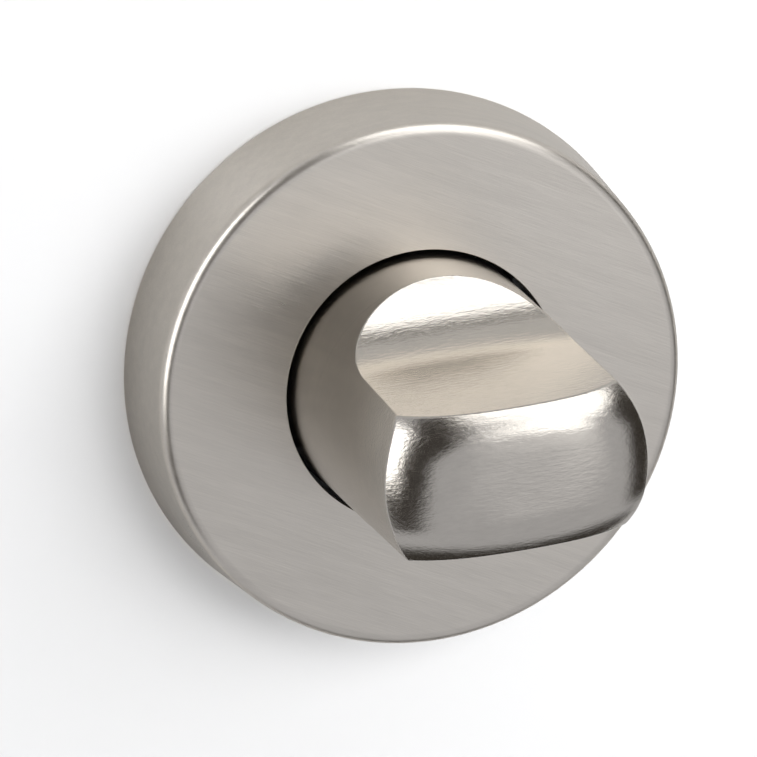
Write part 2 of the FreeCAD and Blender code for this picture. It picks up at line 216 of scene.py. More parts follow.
class FinishColours(bpy.types.PropertyGroup):
    """Colours of the finishes."""

    nickel: colour("Satin nickel", (0.66, 0.615, 0.55), "Plated turn")
    # The turn's satin nickel painted 15% lighter for the rose: painted light that stands in for more light
    # falling on the rose's face and side.
    nickel_painted_lighter: colour("Satin nickel painted lighter", (0.76, 0.707, 0.633), "Plated rose")
    zinc: colour("Cast zinc", (0.36, 0.365, 0.37), "Die-cast base plate")
    bright_zinc: colour("Zinc plate", (0.60, 0.61, 0.63), "Screws and washer")
    steel: colour("Drawn steel", (0.44, 0.43, 0.42), "Spindle")
    spring: colour("Spring steel", (0.30, 0.29, 0.28), "Snap wire and wave washer")
    oxide: colour("Black oxide", (0.035, 0.034, 0.036), "Set screw and retaining ring")
    plastic: colour("Bush plastic", (0.012, 0.009, 0.008), "Bearing bush")


class StageSettings(bpy.types.PropertyGroup):
    """Camera and studio."""

    azimuth: angle("Azimuth", -15.9, "Camera's place round the object, from straight in front")
    elevation: angle("Elevation", 18.1, "Camera's height above the horizon")
    roll: angle("Roll", 4.3, "How far the picture is turned")
    distance: length("Distance", 700.0, "Camera to the middle of the rose's face")
    pixels_per_mm: bpy.props.FloatProperty(name="Scale", default=11.21,
                                           description="Image pixels for a millimetre at the rose's face")
    aim_left: length("Aim left", 4.02, "How far left of the face's middle the camera aims")
    aim_up: length("Aim up", 0.77, "How far above the face's middle the camera aims")
    wall_gap: length("Wall gap", 0.3, "How far behind the door's face the wall stands")
    wall_reach: length("Wall reach", 130.0, "How far the wall reaches to both sides and up")
    floor_drop: length("Floor drop", 56.0, "How far the floor lies below the axis")


GROUPS = {"rose": RoseSizes, "turn": TurnSizes, "screws": ScrewSizes, "finish": FinishColours,
          "stage": StageSettings}


class DresserSettings(bpy.types.PropertyGroup):
    """All settings of the dresser."""

    rose: bpy.props.PointerProperty(type=RoseSizes, name="Rose", description="Rose cover")
    turn: bpy.props.PointerProperty(type=TurnSizes, name="Turn", description="Thumb turn")
    screws: bpy.props.PointerProperty(type=ScrewSizes, name="Screws", description="Fixing screws")
    finish: bpy.props.PointerProperty(type=FinishColours, name="Finishes", description="Colours")
    stage: bpy.props.PointerProperty(type=StageSettings, name="Stage", description="Camera and studio")


def settings():
    """The dresser's settings on the scene."""
    return bpy.context.scene.thumb_turn_dresser


def node(tree, kind, inputs=None, **attributes):
    """Adds a node, sets its attributes and input values, and returns it."""
    made = tree.nodes.new(kind)
    for key, value in attributes.items():
        setattr(made, key, value)
    for key, value in (inputs or {}).items():
        if isinstance(value, bpy.types.NodeSocket):
            tree.links.new(value, made.inputs[key])
        else:
            made.inputs[key].default_value = value
    return made


def maths(tree, operation, first, second, third=0.0):
    """The result of one Math node."""
    return node(tree, "ShaderNodeMath", {0: first, 1: second, 2: third}, operation=operation).outputs[0]


def remap(tree, value, low, high, to_low=0.0, to_high=1.0, smooth=False):
    """The value of a Map Range node, clamped."""
    return node(tree, "ShaderNodeMapRange", {"Value": value, "From Min": low, "From Max": high,
                                             "To Min": to_low, "To Max": to_high},
                interpolation_type="SMOOTHSTEP" if smooth else "LINEAR").outputs["Result"]


def mix_colour(tree, factor, first, second):
    """The colour of a Mix node."""
    made = node(tree, "ShaderNodeMix", {0: factor}, data_type="RGBA")
    for index, value in ((6, first), (7, second)):
        if isinstance(value, bpy.types.NodeSocket):
            tree.links.new(value, made.inputs[index])
        else:
            made.inputs[index].default_value = (*value, 1.0)
    return made.outputs[2]


def new_group(name, inputs, outputs):
    """An empty shader group with its sockets, and its input and output nodes."""
    tree = bpy.data.node_groups.new(name, "ShaderNodeTree")
    for label, kind, default in inputs:
        socket = tree.interface.new_socket(label, in_out="INPUT", socket_type=kind)
        if default is not None:
            socket.default_value = default
    for label, kind in outputs:
        tree.interface.new_socket(label, in_out="OUTPUT", socket_type=kind)
    return tree, tree.nodes.new("NodeGroupInput"), tree.nodes.new("NodeGroupOutput")


def brush_group():
    """Brush lines along the first axis of Vector: fine scratches, wider streaks and soft blotches."""
    tree, given, out = new_group(
        "satin_brush",
        [("Vector", "NodeSocketVector", None), ("Along", "NodeSocketFloat", 260.0),
         ("Across", "NodeSocketFloat", 7500.0), ("Blotch", "NodeSocketFloat", 90.0)],
        [("Lines", "NodeSocketFloat"), ("Streaks", "NodeSocketFloat"), ("Blotches", "NodeSocketFloat")])
    vector = given.outputs["Vector"]

    def stretched(along, across):
        scale = node(tree, "ShaderNodeCombineXYZ", {"X": along, "Y": across, "Z": across}).outputs[0]
        return node(tree, "ShaderNodeVectorMath", {0: vector, 1: scale}, operation="MULTIPLY").outputs[0]

    fine = node(tree, "ShaderNodeTexNoise", {
        "Vector": stretched(given.outputs["Along"], given.outputs["Across"]),
        "Scale": 1.0, "Detail": 3.0, "Roughness": 0.65}).outputs["Fac"]
    longer = maths(tree, "MULTIPLY", given.outputs["Along"], STREAK_ALONG)
    wider = maths(tree, "MULTIPLY", given.outputs["Across"], STREAK_ACROSS)
    streaks = node(tree, "ShaderNodeTexNoise", {
        "Vector": stretched(longer, wider), "Scale": 1.0, "Detail": 2.0}).outputs["Fac"]
    blotch = node(tree, "ShaderNodeTexNoise", {
        "Vector": vector, "Scale": given.outputs["Blotch"], "Detail": 2.0}).outputs["Fac"]
    tree.links.new(fine, out.inputs["Lines"])
    tree.links.new(streaks, out.inputs["Streaks"])
    tree.links.new(blotch, out.inputs["Blotches"])
    return tree


def speckle_group():
    """Fine grain and larger mottling for cast, oiled and moulded surfaces."""
    tree, given, out = new_group(
        "cast_grain",
        [("Vector", "NodeSocketVector", None), ("Grain", "NodeSocketFloat", 4200.0),
         ("Mottle", "NodeSocketFloat", 260.0)],
        [("Grain", "NodeSocketFloat"), ("Mottle", "NodeSocketFloat")])
    grain = node(tree, "ShaderNodeTexNoise", {
        "Vector": given.outputs["Vector"], "Scale": given.outputs["Grain"], "Detail": 2.0}).outputs["Fac"]
    mottle = node(tree, "ShaderNodeTexNoise", {
        "Vector": given.outputs["Vector"], "Scale": given.outputs["Mottle"], "Detail": 4.0,
        "Roughness": 0.6}).outputs["Fac"]
    tree.links.new(grain, out.inputs["Grain"])
    tree.links.new(mottle, out.inputs["Mottle"])
    return tree


def group(name, build):
    """The shared group of that name, built when it is first asked for."""
    return bpy.data.node_groups.get(name) or build()


def start_material(name):
    """A fresh node material, its tree and its Principled BSDF."""
    material = bpy.data.materials.new(name)
    material.use_nodes = True
    tree = material.node_tree
    return material, tree, tree.nodes["Principled BSDF"]


def shaded(tint, share):
    """The colour times a share."""
    return tuple(channel * share for channel in tint)


def brushed_metal(name, tint, along, across, rough, bump, turn=(0.0, 0.0, 0.0), relief_mm=0.02,
                  shades=(0.93, 1.04)):
    """A brushed or drawn metal whose lines run along the object's x axis, turned by the given angles."""
    material, tree, bsdf = start_material(name)
    place = node(tree, "ShaderNodeTexCoord").outputs["Object"]
    turned = node(tree, "ShaderNodeMapping", {"Vector": place, "Rotation": turn},
                  vector_type="TEXTURE").outputs[0]
    brush = node(tree, "ShaderNodeGroup", node_tree=group("satin_brush", brush_group))
    tree.links.new(turned, brush.inputs["Vector"])
    brush.inputs["Along"].default_value = along
    brush.inputs["Across"].default_value = across
    lines, streaks, blotches = (brush.outputs[key] for key in ("Lines", "Streaks", "Blotches"))
    shade = maths(tree, "MULTIPLY_ADD", streaks, STREAK_TONE, maths(tree, "MULTIPLY", lines, LINE_TONE))
    tone = remap(tree, shade, NOISE_LOW, NOISE_HIGH)
    tints = (shaded(tint, share) for share in shades)
    tree.links.new(mix_colour(tree, tone, *tints), bsdf.inputs["Base Color"])
    uneven = maths(tree, "MULTIPLY_ADD", blotches, BLOTCH_ROUGH, maths(tree, "MULTIPLY", lines, LINE_ROUGH))
    tree.links.new(remap(tree, uneven, NOISE_LOW, NOISE_HIGH, *rough), bsdf.inputs["Roughness"])
    height = maths(tree, "MULTIPLY_ADD", streaks, STREAK_HEIGHT, lines)
    relief = node(tree, "ShaderNodeBump", {"Strength": bump, "Distance": relief_mm * MM, "Height": height})
    tree.links.new(relief.outputs[0], bsdf.inputs["Normal"])
    bsdf.inputs["Metallic"].default_value = 1.0
    return material


def grained(name, tint, metallic, rough, bump, grain=4200.0, mottle=260.0, relief_mm=0.04,
            shades=(0.91, 1.06)):
    """A cast, oiled or moulded finish with grain and mottling."""
    material, tree, bsdf = start_material(name)
    place = node(tree, "ShaderNodeTexCoord").outputs["Object"]
    speckle = node(tree, "ShaderNodeGroup", node_tree=group("cast_grain", speckle_group))
    tree.links.new(place, speckle.inputs["Vector"])
    speckle.inputs["Grain"].default_value = grain
    speckle.inputs["Mottle"].default_value = mottle
    patches = speckle.outputs["Mottle"]
    tints = (shaded(tint, share) for share in shades)
    tone = remap(tree, patches, NOISE_LOW, NOISE_HIGH)
    tree.links.new(mix_colour(tree, tone, *tints), bsdf.inputs["Base Color"])
    tree.links.new(remap(tree, patches, NOISE_LOW, NOISE_HIGH, *rough), bsdf.inputs["Roughness"])
    relief = node(tree, "ShaderNodeBump", {"Strength": bump, "Distance": relief_mm * MM,
                                           "Height": speckle.outputs["Grain"]})
    tree.links.new(relief.outputs[0], bsdf.inputs["Normal"])
    bsdf.inputs["Metallic"].default_value = metallic
    return material


def smooth_shading(mesh, sharp_deg=CRISP_EDGE_DEG):
    """Shades a mesh smooth and keeps edges sharper than the angle crisp."""
    mesh.shade_smooth()
    mesh.set_sharp_from_angle(angle=math.radians(sharp_deg))


def mesh_object(name, points, faces, material):
    """A smooth-shaded mesh object at the origin."""
    mesh = bpy.data.meshes.new(name)
    mesh.from_pydata([tuple(p) for p in points], [], faces)
    mesh.validate()
    smooth_shading(mesh)
    mesh.materials.append(material)
    made = bpy.data.objects.new(name, mesh)
    bpy.context.scene.collection.objects.link(made)
    return made


def dress(piece, body, cad_node):
    """Lets a remade piece stand for its CAD node and ride on its body."""
    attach(piece, body)
    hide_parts(cad_node)


def arc(centre, radius, start_deg, end_deg, count):
    """Points of an arc, ends included, as (radius, depth) pairs."""
    turns = np.radians(np.linspace(start_deg, end_deg, count))
    return [(centre[0] + radius * math.cos(t), centre[1] + radius * math.sin(t)) for t in turns]


def lathe(profile, count):
    """Vertices and quads of a closed (radius, depth) profile turned about the y axis; depth runs along -y."""
    turns = np.linspace(0, 2 * math.pi, count, endpoint=False)
    points = [(r * math.cos(t), -d, r * math.sin(t)) for r, d in profile for t in turns]
    faces = []
    rings = len(profile)
    for i in range(rings):
        j = (i + 1) % rings
        for k in range(count):
            m = (k + 1) % count
            faces.append((i * count + k, i * count + m, j * count + m, j * count + k))
    return points, faces


class THUMBTURN_OT_rose(bpy.types.Operator):
    """Make the rose cover, with its drafted side, rounded edge and hole"""

    bl_idname = "thumbturn.rose"
    bl_label = "Rose cover"

    def execute(self, context):
        size = settings().rose
        front = size.back_radius - size.draft
        inside = front - size.wall
        lean = math.degrees(math.atan2(size.draft, size.height))
        edge = size.edge_radius
        shift = edge * math.tan(math.radians((90 - lean) / 2))
        edge_centre = (front - shift, size.height - edge)
        hole_centre = (size.hole_radius + size.hole_edge, size.height - size.hole_edge)
        under = size.height - size.face_thickness
        face_from = edge_centre[0] - CREASE_GAP
        face_to = hole_centre[0] + CREASE_GAP
        profile = [(inside, 0.0), (inside + CREASE_GAP, 0.0), (size.back_radius - FOOT_WIDTH, 0.0),
                   (size.back_radius - FOOT_LEAN, FOOT_HEIGHT)]
        profile += [(size.back_radius - size.draft * share, size.height * share) for share in SIDE_SHARES]
        profile += arc(edge_centre, edge, lean, 90, FRONT_EDGE_POINTS)
        profile += [(radius, size.height) for radius in np.linspace(face_from, face_to, FACE_RINGS)]
        profile += arc(hole_centre, size.hole_edge, 90, 180, HOLE_EDGE_POINTS)
        profile += [(size.hole_radius, size.height - 2 * size.hole_edge), (size.hole_radius, under),
                    (size.hole_radius + CREASE_GAP, under), (inside - CREASE_GAP, under),
                    (inside, under - CREASE_GAP)]
        points, faces = lathe(profile, ROSE_SEGMENTS)
        # The rose's tint is the same satin nickel painted lighter, as painted light.
        tint = tuple(settings().finish.nickel_painted_lighter)
        metal = brushed_metal("satin_nickel_rose", tint, turn=(0.0, math.radians(ROSE_BRUSH_DEG), 0.0),
                              along=300.0, across=6500.0, rough=(0.27, 0.38), bump=0.6, shades=(0.915, 1.05))
        piece = mesh_object("rose_cover_satin", points, faces, metal)
        dress(piece, "rose", "rose_cover")
        return {"FINISHED"}


def rounded_max(first, second, radius):
    """Where two signed distances meet, their intersection with the edge rounded to the radius."""
    over_first = np.maximum(radius + first, 0)
    over_second = np.maximum(radius + second, 0)
    return np.minimum(-radius, np.maximum(first, second)) + np.hypot(over_first, over_second)


class GripForm:
    """The turn's grip as a signed distance: tapered flanks, two scoops and a pillowed end."""

    SLOPE_STEP = 1e-5
    STEEPEST = 4.0
    NORMAL_STEP = 2e-6
    LEAST_SLOPE = 0.2
    LONGEST_MOVE = 2e-4
    ROUNDS = 5

    def __init__(self, size):
        self.size = size
        self.level = size.grip_half + size.scoop_radius
        rise = self.level - self.flank_radius(size.scoop_start)
        self.centre = size.scoop_start + math.sqrt(size.scoop_radius ** 2 - rise ** 2)
        self.leave = self.centre - size.scoop_radius * math.sin(size.grip_taper)
        self.leave_half = self.level - size.scoop_radius * math.cos(size.grip_taper)

    def flank_radius(self, s):
        """Radius of the flanks at depth s."""
        size = self.size
        lost = size.hub_taper * (s - size.face) / (size.end - size.face)
        return size.hub_radius - lost

    def face_half(self, s):
        """Half the thickness between the grip's straight faces at depth s."""
        return self.leave_half - math.tan(self.size.grip_taper) * (s - self.leave)

    def top(self, x, v):
        """Depth of the pillowed end over a point."""
        size = self.size
        crown = size.crown_drop * (np.hypot(x, v) / (size.hub_radius - size.hub_taper)) ** 4
        run = np.maximum(np.abs(v) - (self.face_half(size.end) - size.long_reach), 0)
        return size.end - crown - size.long_drop * (run / size.long_reach) ** 2

    def half_width(self, s):
        """Half the thickness of the grip at depth s."""
        run = np.clip(self.centre - s, 0, self.size.scoop_radius)
        hollow = self.level - np.sqrt(self.size.scoop_radius ** 2 - run ** 2)
        return np.where(s < self.leave, hollow, self.face_half(s))

    def distance(self, p):
        """Signed distance of points given as (x, v, s) rows."""
        x, v, s = p.T
        size = self.size
        flank = np.hypot(x, v) - self.flank_radius(s)
        hollow = size.scoop_radius - np.hypot(np.abs(v) - self.level, s - self.centre)
        straight = (np.abs(v) - self.face_half(s)) * math.cos(size.grip_taper)
        scoop = np.where(s < self.leave, hollow, straight)
        step = self.SLOPE_STEP
        here = self.top(x, v)
        slope = np.hypot((self.top(x + step, v) - here) / step, (self.top(x, v + step) - here) / step)
        end = (s - here) / np.sqrt(1 + np.minimum(slope, self.STEEPEST) ** 2)
        side = rounded_max(flank, scoop, size.edge_break)
        return rounded_max(side, end, size.edge_break)

    def gradient(self, p):
        """Slope of the signed distance at points, which points out of the solid."""
        step = self.NORMAL_STEP
        return np.stack([(self.distance(p + step * axis) - self.distance(p - step * axis)) / (2 * step)
                         for axis in np.eye(3)], 1)

    def settle(self, p):
        """Moves points along the gradient onto the surface."""
        for _ in range(self.ROUNDS):
            gradient = self.gradient(p)
            norm = np.maximum((gradient ** 2).sum(1), self.LEAST_SLOPE)
            move = np.clip(self.distance(p) / norm, -self.LONGEST_MOVE, self.LONGEST_MOVE)
            p = p - move[:, None] * gradient
        return p


def eased(count):
    """Shares from 0 to 1 whose steps are fine at both ends."""
    return 0.5 - 0.5 * np.cos(np.linspace(0, math.pi, count + 1))


def section(form, s):
    """One closed section of the grip at depth s as (x, v) rows: right flank, top, left flank, bottom."""
    radius = form.flank_radius(s)
    half = min(float(form.half_width(np.array(s))), radius)
    corner = math.asin(half / radius)
    shares = eased(SECTION_STEPS)
    turns = -corner + 2 * corner * shares
    right = np.stack([radius * np.cos(turns), radius * np.sin(turns)], 1)
    reach = radius * math.cos(corner)
    across = reach - 2 * reach * shares
    top = np.stack([across, np.full_like(across, half)], 1)
    return np.concatenate([right[:-1], top[:-1], -right[:-1], -top[:-1]])


def turn_mesh(size):
    """Vertices and faces of the whole turn, from the neck's back end to the pillowed end."""
    form = GripForm(size)
    full_round = section(form, size.face)
    unit = full_round / size.hub_radius
    low_edge = form.flank_radius(size.hub_bottom + size.chamfer)
    rings = []
    for radius, depth in ((size.neck_radius - size.chamfer, 0.0), (size.neck_radius, size.chamfer),
                          (size.neck_radius, size.groove_low), (size.groove_radius, size.groove_low),
                          (size.groove_radius, size.groove_high), (size.neck_radius, size.groove_high),
                          (size.neck_radius, size.hub_bottom), (low_edge - size.chamfer, size.hub_bottom),
                          (low_edge, size.hub_bottom + size.chamfer)):
        rings.append(np.column_stack([unit * radius, np.full(len(unit), depth)]))
    plain = len(rings)
    low = np.linspace(size.hub_bottom + HUB_FOOT_GAP, size.scoop_start - SCOOP_GAP, HUB_RINGS)
    below = size.scoop_start - np.array(BELOW_SCOOP_MM) * MM
    above = size.scoop_start + np.linspace(0, 1, SCOOP_RINGS) ** 2 * NEAR_SCOOP
    hollow = np.linspace(above[-1] + NEXT_RING, form.leave, SCOOP_RINGS)
    for s in np.concatenate([low, below, above, hollow]):
        outline = section(form, s)
        rings.append(np.column_stack([outline, np.full(len(outline), s)]))
    outline = section(form, size.end)
    crest = form.top(*outline.T)
    for share in 1 - np.array(GRIP_SHARES):
        level = form.leave + (crest - form.leave) * share
        slid = np.stack([section(form, s)[i] for i, s in enumerate(level)])
        rings.append(np.column_stack([slid, level]))
    for share in 1 - np.array(END_SHARES):
        shrunk = outline * share
        rings.append(np.column_stack([shrunk, form.top(*shrunk.T)]))
    count = len(unit)
    points = np.concatenate(rings)
    start = plain * count
    points[start:] = form.settle(points[start:])
    points = np.vstack([points, [0, 0, 0], [0, 0, size.end]])
    faces = []
    for i in range(len(rings) - 1):
        for k in range(count):
            m = (k + 1) % count
            faces.append((i * count + k, i * count + m, (i + 1) * count + m, (i + 1) * count + k))
    last = (len(rings) - 1) * count
    for k in range(count):
        m = (k + 1) % count
        faces.append((m, k, len(points) - 2))
        faces.append((last + k, last + m, len(points) - 1))
    x, v, s = points.T
    return np.stack([x, -s, v], 1), faces


def weld(piece, distance):
    """Merges points that lie together, drops faces without area and points all faces outwards."""
    work = bmesh.new()
    work.from_mesh(piece.data)
    bmesh.ops.remove_doubles(work, verts=work.verts, dist=distance)
    bmesh.ops.dissolve_degenerate(work, edges=work.edges, dist=distance)
    bmesh.ops.recalc_face_normals(work, faces=work.faces)
    work.to_mesh(piece.data)
    work.free()


def true_normals(piece, size):
    """Gives the grip the exact normals of its form; the neck and the hub's foot keep their own."""
    mesh = piece.data
    places = np.empty(len(mesh.vertices) * 3)
    mesh.vertices.foreach_get("co", places)
    x, y, z = places.reshape(-1, 3).T
    slope = GripForm(size).gradient(np.stack([x, z, -y], 1))
    normals = np.stack([slope[:, 0], -slope[:, 2], slope[:, 1]], 1)
    normals /= np.linalg.norm(normals, axis=1)[:, None]
    normals[-y < size.hub_bottom + OWN_NORMALS] = 0.0
    mesh.normals_split_custom_set_from_vertices(normals)


class THUMBTURN_OT_turn(bpy.types.Operator):
    """Make the thumb turn: neck, round hub, two scoops and the pillowed grip"""

    bl_idname = "thumbturn.turn"
    bl_label = "Thumb turn"

    def execute(self, context):
        points, faces = turn_mesh(settings().turn)
        tint = tuple(settings().finish.nickel)
        metal = brushed_metal("satin_nickel_turn", tint, along=900.0, across=3600.0, rough=(0.15, 0.25),
                              bump=0.6, relief_mm=0.04)
        piece = mesh_object("thumb_turn_satin", points, faces, metal)
        weld(piece, TURN_WELD)
        smooth_shading(piece.data)
        true_normals(piece, settings().turn)
        dress(piece, "turn", "thumb_turn")
        return {"FINISHED"}


def screw_tree(material):
    """Geometry Nodes for threaded countersunk screws in a row along x, pointing along +y."""
    tree = bpy.data.node_groups.new("fixing_screw_row", "GeometryNodeTree")
    for label in ("Spacing", "Radius", "Pitch", "Head radius", "Head top", "Length", "Plain radius",
                  "Plain length"):
        socket = tree.interface.new_socket(label, in_out="INPUT", socket_type="NodeSocketFloat")
        socket.subtype = "DISTANCE"
    tree.interface.new_socket("Geometry", in_out="OUTPUT", socket_type="NodeSocketGeometry")
    given = tree.nodes.new("NodeGroupInput").outputs
    out = tree.nodes.new("NodeGroupOutput")

    def times(value, share):
        return maths(tree, "MULTIPLY", value, share)

    def less(value, taken):
        return maths(tree, "SUBTRACT", value, taken)

    def made(kind, **inputs):
        return node(tree, kind, {key.replace("_", " "): value for key, value in inputs.items()}).outputs[0]

    def lifted(geometry, height):
        place = made("ShaderNodeCombineXYZ", Z=height)
        return made("GeometryNodeTransform", Geometry=geometry, Translation=place)

    thread = times(given["Pitch"], RIDGE_SHARE)
    core = less(given["Radius"], times(thread, CORE_DEPTH))
    path_radius = less(given["Radius"], thread)
    head_depth = less(given["Head radius"], core)
    shank = less(given["Length"], times(given["Pitch"], TIP_PITCHES))
    thread_start = maths(tree, "ADD", given["Plain length"], thread)
    threaded = less(shank, thread_start)
    turns = maths(tree, "DIVIDE", threaded, given["Pitch"])
    spiral = made("GeometryNodeCurveSpiral", Resolution=RIDGE_STEPS, Rotations=turns,
                  Start_Radius=path_radius, End_Radius=path_radius, Height=threaded)
    ridge_section = made("GeometryNodeCurvePrimitiveCircle", Resolution=RIDGE_SIDES, Radius=thread)
    ridge = made("GeometryNodeCurveToMesh", Curve=spiral, Profile_Curve=ridge_section, Fill_Caps=True)
    bar = made("GeometryNodeMeshCylinder", Vertices=SHANK_SIDES, Radius=core, Depth=shank)
    plain = made("GeometryNodeMeshCylinder", Vertices=SHANK_SIDES, Radius=given["Plain radius"],
                 Depth=given["Plain length"])
    tip = made("GeometryNodeMeshCone", Vertices=SHANK_SIDES, Radius_Top=times(core, TIP_SHARE),
               Radius_Bottom=core, Depth=less(given["Length"], shank))
    head = made("GeometryNodeMeshCone", Vertices=HEAD_SIDES, Radius_Top=core,
                Radius_Bottom=given["Head radius"], Depth=head_depth)
    joined = tree.nodes.new("GeometryNodeJoinGeometry")
    for geometry in (head, lifted(bar, times(shank, 0.5)), lifted(tip, shank),
                     lifted(plain, times(given["Plain length"], 0.5)), lifted(ridge, thread_start)):
        tree.links.new(geometry, joined.inputs[0])
    row_start = made("ShaderNodeCombineXYZ", X=times(given["Spacing"], -0.5),
                     Y=times(given["Head top"], -1.0))
    row_step = made("ShaderNodeCombineXYZ", X=given["Spacing"])
    row = made("GeometryNodeMeshLine", Count=SCREW_COUNT, Start_Location=row_start, Offset=row_step)
    placed = made("GeometryNodeInstanceOnPoints", Points=row, Instance=joined.outputs[0],
                  Rotation=(-math.pi / 2, 0.0, 0.0))
    real = made("GeometryNodeRealizeInstances", Geometry=placed)
    finished = made("GeometryNodeSetMaterial", Geometry=real, Material=material)
    tree.links.new(finished, out.inputs[0])
    return tree


class THUMBTURN_OT_screws(bpy.types.Operator):
    """Make the two through-door screws with their threads"""

    bl_idname = "thumbturn.screws"
    bl_label = "Fixing screws"

    def execute(self, context):
        size = settings().screws
        tint = tuple(settings().finish.bright_zinc)
        metal = brushed_metal("bright_zinc_plate", tint, turn=(0.0, 0.0, math.pi / 2), along=500.0,
                              across=5000.0, rough=(0.18, 0.34), bump=0.15)
        carrier = bpy.data.objects.new("screw_carrier", bpy.data.meshes.new("screw_carrier"))
        context.scene.collection.objects.link(carrier)
        maker = carrier.modifiers.new("screws", "NODES")
        maker.node_group = screw_tree(metal)
        values = {"Spacing": size.spacing, "Radius": size.radius, "Pitch": size.pitch,
                  "Head radius": size.head_radius, "Head top": size.head_top, "Length": size.long,
                  "Plain radius": size.plain_radius, "Plain length": size.plain_long}
        for item in maker.node_group.interface.items_tree:
            if item.in_out == "INPUT":
                maker[item.identifier] = values[item.name]
        shown = context.evaluated_depsgraph_get()
        mesh = bpy.data.meshes.new_from_object(carrier.evaluated_get(shown))
        bpy.data.objects.remove(carrier)
        mesh.name = "fixing_screws_threaded"
        smooth_shading(mesh, THREAD_EDGE_DEG)
        piece = bpy.data.objects.new("fixing_screws_threaded", mesh)
        context.scene.collection.objects.link(piece)
        dress(piece, "rose", "fixing_screws")
        return {"FINISHED"}


class THUMBTURN_OT_works(bpy.types.Operator):
    """Give the pieces behind the rose their finishes"""

    bl_idname = "thumbturn.works"
    bl_label = "Works behind the rose"

    def execute(self, context):
        finish = settings().finish
        drawn = brushed_metal("drawn_steel", tuple(finish.steel), turn=(0.0, 0.0, math.pi / 2), along=120.0,
                              across=5200.0, rough=(0.24, 0.42), bump=0.3)
        rolled = brushed_metal("rolled_zinc_plate", tuple(finish.bright_zinc), along=400.0, across=4500.0,
                               rough=(0.2, 0.36), bump=0.15)
        spring = grained("spring_steel_oiled", tuple(finish.spring), 1.0, (0.26, 0.44), bump=0.1)
        oxide = grained("black_oxide", tuple(finish.oxide), 0.6, (0.34, 0.55), bump=0.2)
        cast = grained("cast_zinc", tuple(finish.zinc), 0.85, (0.38, 0.6), bump=0.35, grain=2600.0,
                       mottle=180.0)
        acetal = grained("bush_acetal", tuple(finish.plastic), 0.0, (0.4, 0.6), bump=0.1)
        finishes = {"base_plate": cast, "bearing_bush": acetal, "snap_ring": spring, "wave_washer": spring,
                    "spindle": drawn, "set_screw": oxide, "thrust_washer": rolled, "retaining_ring": oxide}
        for name, material in finishes.items():
            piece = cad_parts[name]
            piece.data.materials.clear()
            piece.data.materials.append(material)
            joiner = piece.modifiers.new("join", "WELD")
            joiner.merge_threshold = CAD_WELD
            softener = piece.modifiers.new("edges", "BEVEL")
            softener.width = BEVEL_WIDTH
            softener.segments = BEVEL_SEGMENTS
            softener.limit_method = "ANGLE"
            softener.angle_limit = math.radians(BEVEL_FROM_DEG)
        return {"FINISHED"}


def plane(name, corners, material):
    """One flat stage piece from its four corners."""
    made = mesh_object(name, corners, [(0, 1, 2, 3)], material)
    return made


def bare_material(name):
    """A node material without nodes, and its tree."""
    material = bpy.data.materials.new(name)
    material.use_nodes = True
    material.node_tree.nodes.clear()
    return material, material.node_tree


def grey(tone):
    """A grey of one tone."""
    return (tone, tone, tone)


def pale_surface(name, albedo, reflected, glow, one_sided):
    """A pale matt surface, with its own tone in reflections and a little glow for the camera.

    A one-sided surface is clear from behind.
    """
    material, tree = bare_material(name)
    path = node(tree, "ShaderNodeLightPath").outputs
    seen = maths(tree, "MAXIMUM", path["Is Camera Ray"], path["Is Transmission Ray"])
    paint = mix_colour(tree, seen, grey(reflected), grey(albedo))
    matt = node(tree, "ShaderNodeBsdfDiffuse", {"Color": paint}).outputs[0]
    light = node(tree, "ShaderNodeEmission", {"Strength": maths(tree, "MULTIPLY", seen, glow)}).outputs[0]
    result = node(tree, "ShaderNodeAddShader", {0: matt, 1: light}).outputs[0]
    if one_sided:
        clear = node(tree, "ShaderNodeBsdfTransparent").outputs[0]
        behind = node(tree, "ShaderNodeNewGeometry").outputs["Backfacing"]
        result = node(tree, "ShaderNodeMixShader", {0: behind, 1: result, 2: clear}).outputs[0]
    out = node(tree, "ShaderNodeOutputMaterial")
    tree.links.new(result, out.inputs["Surface"])
    return material


def glowing_card(name, corners, strength, fades):
    """A card of light seen only in reflections.

    Each fade is (direction, from, to, share of the strength at from, share at to).
    """
    material, tree = bare_material(name)
    place = node(tree, "ShaderNodeTexCoord").outputs["Object"]
    power = strength
    for way, low, high, to_low, to_high in fades:
        along = node(tree, "ShaderNodeVectorMath", {0: place, 1: way}, operation="DOT_PRODUCT")
        share = remap(tree, along.outputs["Value"], low, high, to_low, to_high, smooth=True)
        power = maths(tree, "MULTIPLY", power, share)
    light = node(tree, "ShaderNodeEmission", {"Color": CARD_WHITE, "Strength": power}).outputs[0]
    clear = node(tree, "ShaderNodeBsdfTransparent").outputs[0]
    both = node(tree, "ShaderNodeAddShader", {0: light, 1: clear}).outputs[0]
    tree.links.new(both, node(tree, "ShaderNodeOutputMaterial").inputs["Surface"])
    card = plane(name, corners, material)
    card.visible_camera = card.visible_diffuse = card.visible_shadow = card.visible_transmission = False


def upright_card(y):
    """Corners of a card in front of the rose, at depth y."""
    return [(-0.1, y, -0.3), (0.4, y, -0.3), (0.4, y, 0.26), (-0.1, y, 0.26)]


